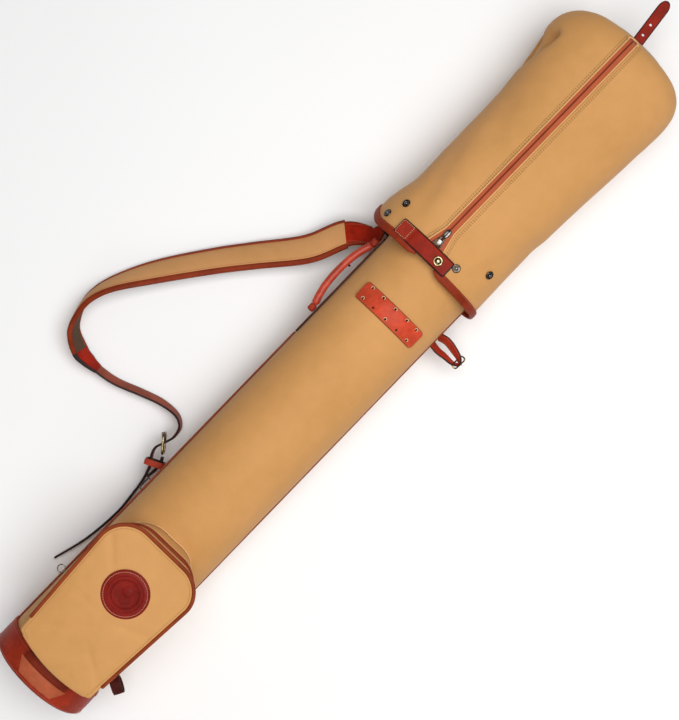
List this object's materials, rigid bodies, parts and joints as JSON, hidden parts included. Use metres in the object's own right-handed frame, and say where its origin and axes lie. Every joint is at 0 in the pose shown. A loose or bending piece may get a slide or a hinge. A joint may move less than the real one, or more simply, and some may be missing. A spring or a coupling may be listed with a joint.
{
  "type": "golf carry bag",
  "caption": "Slim tubular canvas and leather golf carry bag lying on its back, with a zipped travel hood, ball pocket, carry handle and padded shoulder strap.",
  "frame": {"origin": "centre of the base's flat end face, on the tube's axis", "axes": "+Y along the tube from the base to the hood, +Z out of the front with the ball pocket, +X towards the umbrella strap; the shoulder strap and handle are on -X, and the bag lies on z = -0.080"},
  "size_m": [0.4672, 1.3152, 0.1989],
  "materials": {
    "canvas": "waxed cotton canvas, tan going to olive brown",
    "bright_leather": "red brown bridle leather, satin",
    "dark_leather": "oxblood bridle leather, satin",
    "boot_leather": "worn chestnut leather",
    "patch_leather": "worn light brown leather",
    "zip_tape": "woven terracotta tape",
    "brass": "antique brass",
    "dark_metal": "dark antique finish",
    "zip_metal": "bright nickel",
    "plastic": "dark stiffener tube",
    "board": "fibre board"
  },
  "bodies": {
    "bag": {"liner_tube": "plastic", "canvas_shell": "canvas", "base_board": "board", "base_boot": "boot_leather", "boot_patch": "patch_leather", "boot_band": "dark_leather", "top_cuff": "dark_leather", "spine_strip": "dark_leather", "handle_base": "boot_leather", "handle_chape_lower": "boot_leather", "handle_chape_upper": "boot_leather", "laced_patch": "bright_leather", "pocket_gusset": "canvas", "pocket_zip_tape": "zip_tape", "strap_tab_upper": "dark_leather", "strap_tab_lower": "dark_leather", "snap_stud_1": "dark_metal", "snap_stud_2": "dark_metal", "umbrella_tab": "dark_leather"},
    "pocket_door": {"pocket_front": "canvas", "pocket_piping": "dark_leather", "pocket_badge": "dark_leather"},
    "pocket_zip": {"pocket_slider": "dark_metal"},
    "pocket_pull": {"pocket_pull_ring": "dark_metal"},
    "handle": {"handle_grip": "bright_leather"},
    "hood": {"hood_shell": "canvas", "hem_binding": "dark_leather", "zip_tape_left": "zip_tape", "zip_tape_right": "zip_tape", "snap_cap_1": "dark_metal", "snap_cap_2": "dark_metal", "snap_cap_3": "dark_metal", "snap_cap_4": "dark_metal", "tab_base": "dark_leather", "tab_stud": "dark_metal", "hood_strap_patch": "dark_leather", "hood_buckle_tab": "dark_leather", "hood_buckle_frame": "dark_metal"},
    "tab_flap": {"tab_strap": "dark_leather", "tab_snap_cap": "brass"},
    "hood_zip": {"zip_slider": "zip_metal"},
    "hood_pull": {"zip_pull": "zip_metal"},
    "end_strap": {"hood_strap": "dark_leather"},
    "end_prong": {"hood_buckle_prong": "dark_metal"},
    "shoulder_strap": {"strap_end_cap": "bright_leather", "strap_pad": "canvas", "pad_binding_inner": "dark_leather", "pad_binding_outer": "dark_leather", "strap_connector": "bright_leather", "strap_narrow": "dark_leather", "buckle_strap": "dark_leather", "buckle_frame": "brass", "strap_ring_upper": "dark_metal", "strap_ring_lower": "dark_metal"},
    "strap_prong": {"buckle_prong": "brass"},
    "keeper": {"strap_keeper": "bright_leather"},
    "umbrella_loop": {"umbrella_strap": "dark_leather", "umbrella_buckle": "brass"},
    "loop_prong": {"umbrella_prong": "brass"},
    "lower_loop": {"lower_umbrella_loop": "dark_leather"}
  },
  "joints": [
    {"name": "hood_lift", "type": "slide", "parent": "bag", "child": "hood", "axis": [0, 1, 0], "range_m": [0, 0.12]},
    {"name": "hood_zip_run", "type": "slide", "parent": "hood", "child": "hood_zip", "axis": [0, 1, 0], "range_m": [0, 0.28]},
    {"name": "hood_pull_flip", "type": "hinge", "parent": "hood_zip", "child": "hood_pull", "pos_m": [-0.017, 0.8444, 0.0914], "axis": [-1, 0, 0], "range_deg": [0, 100]},
    {"name": "tab_flap_lift", "type": "hinge", "parent": "hood", "child": "tab_flap", "pos_m": [-0.051, 0.8175, 0.0865], "axis": [0, -1, 0], "range_deg": [0, 150]},
    {"name": "end_strap_bend", "type": "hinge", "parent": "hood", "child": "end_strap", "pos_m": [-0.0125, 1.244, 0.02], "axis": [1, 0, 0], "range_deg": [-60, 60]},
    {"name": "end_prong_lift", "type": "hinge", "parent": "hood", "child": "end_prong", "pos_m": [-0.0125, 1.2478, -0.007], "axis": [1, 0, 0], "range_deg": [0, 100]},
    {"name": "handle_swing", "type": "hinge", "parent": "bag", "child": "handle", "pos_m": [-0.0856, 0.65, 0], "axis": [0, 1, 0], "range_deg": [-50, 60]},
    {"name": "pocket_door_lift", "type": "hinge", "parent": "bag", "child": "pocket_door", "pos_m": [0.006, 0.047, 0.099], "axis": [1, 0, 0], "range_deg": [0, 80]},
    {"name": "pocket_zip_run", "type": "slide", "parent": "bag", "child": "pocket_zip", "axis": [0, 0.9993, 0.0381], "range_m": [-0.06, 0.05]},
    {"name": "pocket_pull_swing", "type": "hinge", "parent": "pocket_zip", "child": "pocket_pull", "pos_m": [-0.0734, 0.1535, 0.0846], "axis": [0, 1, 0], "range_deg": [-75, 60]},
    {"name": "shoulder_strap_swing", "type": "hinge", "parent": "bag", "child": "shoulder_strap", "pos_m": [-0.0758, 0.3, -0.0261], "axis": [0, 1, 0], "range_deg": [0, 45]},
    {"name": "strap_prong_lift", "type": "hinge", "parent": "shoulder_strap", "child": "strap_prong", "pos_m": [-0.0956, 0.3498, -0.039], "axis": [0, 0, 1], "range_deg": [0, 15]},
    {"name": "keeper_run", "type": "slide", "parent": "shoulder_strap", "child": "keeper", "axis": [0.42, -0.9075, 0], "range_m": [-0.002, 0.001]},
    {"name": "umbrella_loop_swing", "type": "hinge", "parent": "bag", "child": "umbrella_loop", "pos_m": [0.0765, 0.744, -0.025], "axis": [0, 1, 0], "range_deg": [-25, 30]},
    {"name": "loop_prong_lift", "type": "hinge", "parent": "umbrella_loop", "child": "loop_prong", "pos_m": [0.1205, 0.7425, -0.0238], "axis": [0, -0.8336, -0.5524], "range_deg": [0, 60]},
    {"name": "lower_loop_bend", "type": "hinge", "parent": "bag", "child": "lower_loop", "pos_m": [0.08, 0.072, -0.008], "axis": [0, 1, 0], "range_deg": [-15, 15], "stiffness_Nm_per_rad": 0.05}
  ]
}
